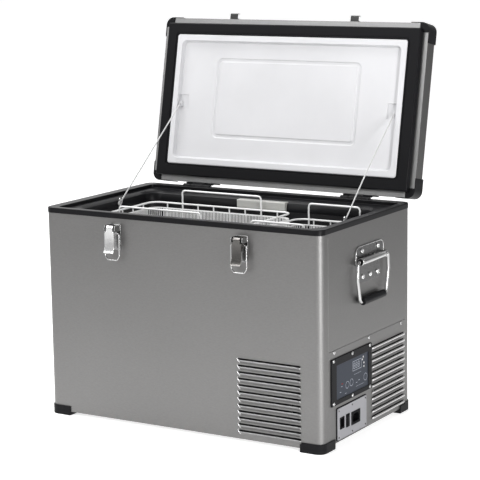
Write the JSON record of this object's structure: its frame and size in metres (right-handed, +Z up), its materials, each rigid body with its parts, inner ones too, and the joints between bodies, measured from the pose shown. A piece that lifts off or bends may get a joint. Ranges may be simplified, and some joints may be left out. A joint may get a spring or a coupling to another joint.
{
  "type": "compressor cooler fridge",
  "caption": "Stainless chest-type compressor fridge with open rear-hinged insulated lid, latches, drop handles, louvres, control panel and lift-out wire baskets.",
  "frame": {"origin": "middle of the overall footprint on the floor, with the lid open", "axes": "+Z up, -Y towards the front, +X towards the side with the control panel"},
  "size_m": [0.673, 0.5313, 0.8033],
  "materials": {
    "brushed_steel": "fine grained, satin",
    "black_plastic": "moulded, satin",
    "black_rubber": "matte",
    "white_plastic": "vacuum formed, satin",
    "foam": "cut polyurethane foam",
    "aluminium": "extruded",
    "polished_steel": "polished stainless",
    "dark_steel": "black coated",
    "galvanised": "zinc coated",
    "white_wire": "white coated wire",
    "membrane": "dark overlay",
    "board": "circuit board",
    "lens": "frosted"
  },
  "bodies": {
    "cabinet": {"front_panel": "brushed_steel", "back_panel": "brushed_steel", "left_side_panel": "brushed_steel", "right_side_panel": "brushed_steel", "right_service_cover": "brushed_steel", "base_pan": "galvanised", "corner_feet": "black_plastic", "rim_frame": "black_plastic", "inner_liner": "white_plastic", "foam_insulation": "foam", "evaporator": "aluminium", "bulkhead": "galvanised", "interior_lamp": "lens", "compressor": "dark_steel", "compressor_mounts": "black_rubber", "condenser": "aluminium", "fan_frame": "black_plastic", "control_board": "board", "control_bezel": "black_plastic", "control_membrane": "membrane", "socket_gasket": "black_rubber", "socket_plate": "aluminium", "dc_inlet": "black_plastic", "ac_inlet": "black_plastic", "rocker_frame": "black_plastic", "panel_screws": "polished_steel", "socket_screws": "polished_steel", "handle_plates": "polished_steel", "handle_screws": "polished_steel", "latch_bases": "polished_steel", "hinge_cabinet_leaves": "dark_steel", "hinge_pins": "dark_steel", "stay_anchors": "polished_steel", "lid_stay_left": "white_wire", "lid_stay_right": "white_wire"},
    "lid": {"lid_skin": "brushed_steel", "lid_foam": "foam", "lid_trim": "aluminium", "lid_gasket": "black_rubber", "lid_liner": "white_plastic", "lid_corner_caps": "black_plastic", "lid_keepers": "polished_steel", "hinge_lid_leaves": "dark_steel", "stay_clips": "white_plastic"},
    "fan": {"fan_rotor": "black_plastic"},
    "rocker": {"rocker_switch": "black_plastic"},
    "power_key": {"power_button": "black_plastic"},
    "plus_key": {"plus_button": "black_plastic"},
    "minus_key": {"minus_button": "black_plastic"},
    "large_basket": {"basket_large": "white_wire"},
    "small_basket": {"basket_small": "white_wire"},
    "left_latch_lever": {"latch_lever_left": "polished_steel"},
    "left_latch_bail": {"latch_bail_left": "polished_steel"},
    "left_handle": {"handle_bail_left": "polished_steel", "handle_grip_left": "black_rubber"},
    "right_latch_lever": {"latch_lever_right": "polished_steel"},
    "right_latch_bail": {"latch_bail_right": "polished_steel"},
    "right_handle": {"handle_bail_right": "polished_steel", "handle_grip_right": "black_rubber"}
  },
  "joints": [
    {"name": "lid_hinge", "type": "hinge", "parent": "cabinet", "child": "lid", "pos_m": [0, 0.14097, 0.432], "axis": [1, 0, 0], "range_deg": [0, 101.6], "deforming": ["lid_stay_left", "lid_stay_right"]},
    {"name": "left_lever_pivot", "type": "hinge", "parent": "cabinet", "child": "left_latch_lever", "pos_m": [-0.1473, -0.25453, 0.4048], "axis": [-1, 0, 0], "range_deg": [0, 115]},
    {"name": "left_latch_bail_pivot", "type": "hinge", "parent": "left_latch_lever", "child": "left_latch_bail", "pos_m": [-0.1473, -0.25103, 0.395], "axis": [1, 0, 0], "range_deg": [-186, 0]},
    {"name": "left_handle_pivot", "type": "hinge", "parent": "cabinet", "child": "left_handle", "pos_m": [-0.329, -0.04453, 0.351], "axis": [0, 1, 0], "range_deg": [0, 90]},
    {"name": "right_lever_pivot", "type": "hinge", "parent": "cabinet", "child": "right_latch_lever", "pos_m": [0.1473, -0.25453, 0.4048], "axis": [-1, 0, 0], "range_deg": [0, 115]},
    {"name": "right_latch_bail_pivot", "type": "hinge", "parent": "right_latch_lever", "child": "right_latch_bail", "pos_m": [0.1473, -0.25103, 0.395], "axis": [1, 0, 0], "range_deg": [-186, 0]},
    {"name": "right_handle_pivot", "type": "hinge", "parent": "cabinet", "child": "right_handle", "pos_m": [0.329, -0.04453, 0.351], "axis": [0, -1, 0], "range_deg": [0, 90]},
    {"name": "fan_spin", "type": "hinge", "parent": "cabinet", "child": "fan", "pos_m": [0.269, 0.03847, 0.085], "axis": [1, 0, 0], "continuous": true},
    {"name": "rocker_tilt", "type": "hinge", "parent": "cabinet", "child": "rocker", "pos_m": [0.3195, -0.14073, 0.0457], "axis": [0, 1, 0], "range_deg": [0, 6]},
    {"name": "power_press", "type": "slide", "parent": "cabinet", "child": "power_key", "axis": [-1, 0, 0], "range_m": [0, 0.0008], "stiffness_N_per_m": 300, "springref_m": -0.0003},
    {"name": "plus_press", "type": "slide", "parent": "cabinet", "child": "plus_key", "axis": [-1, 0, 0], "range_m": [0, 0.0008], "stiffness_N_per_m": 300, "springref_m": -0.0003},
    {"name": "minus_press", "type": "slide", "parent": "cabinet", "child": "minus_key", "axis": [-1, 0, 0], "range_m": [0, 0.0008], "stiffness_N_per_m": 300, "springref_m": -0.0003},
    {"name": "large_basket_lift", "type": "slide", "parent": "cabinet", "child": "large_basket", "axis": [0, 0, -1], "range_m": [-0.3, 0]},
    {"name": "small_basket_lift", "type": "slide", "parent": "cabinet", "child": "small_basket", "axis": [0, 0, -1], "range_m": [-0.3, 0]}
  ]
}
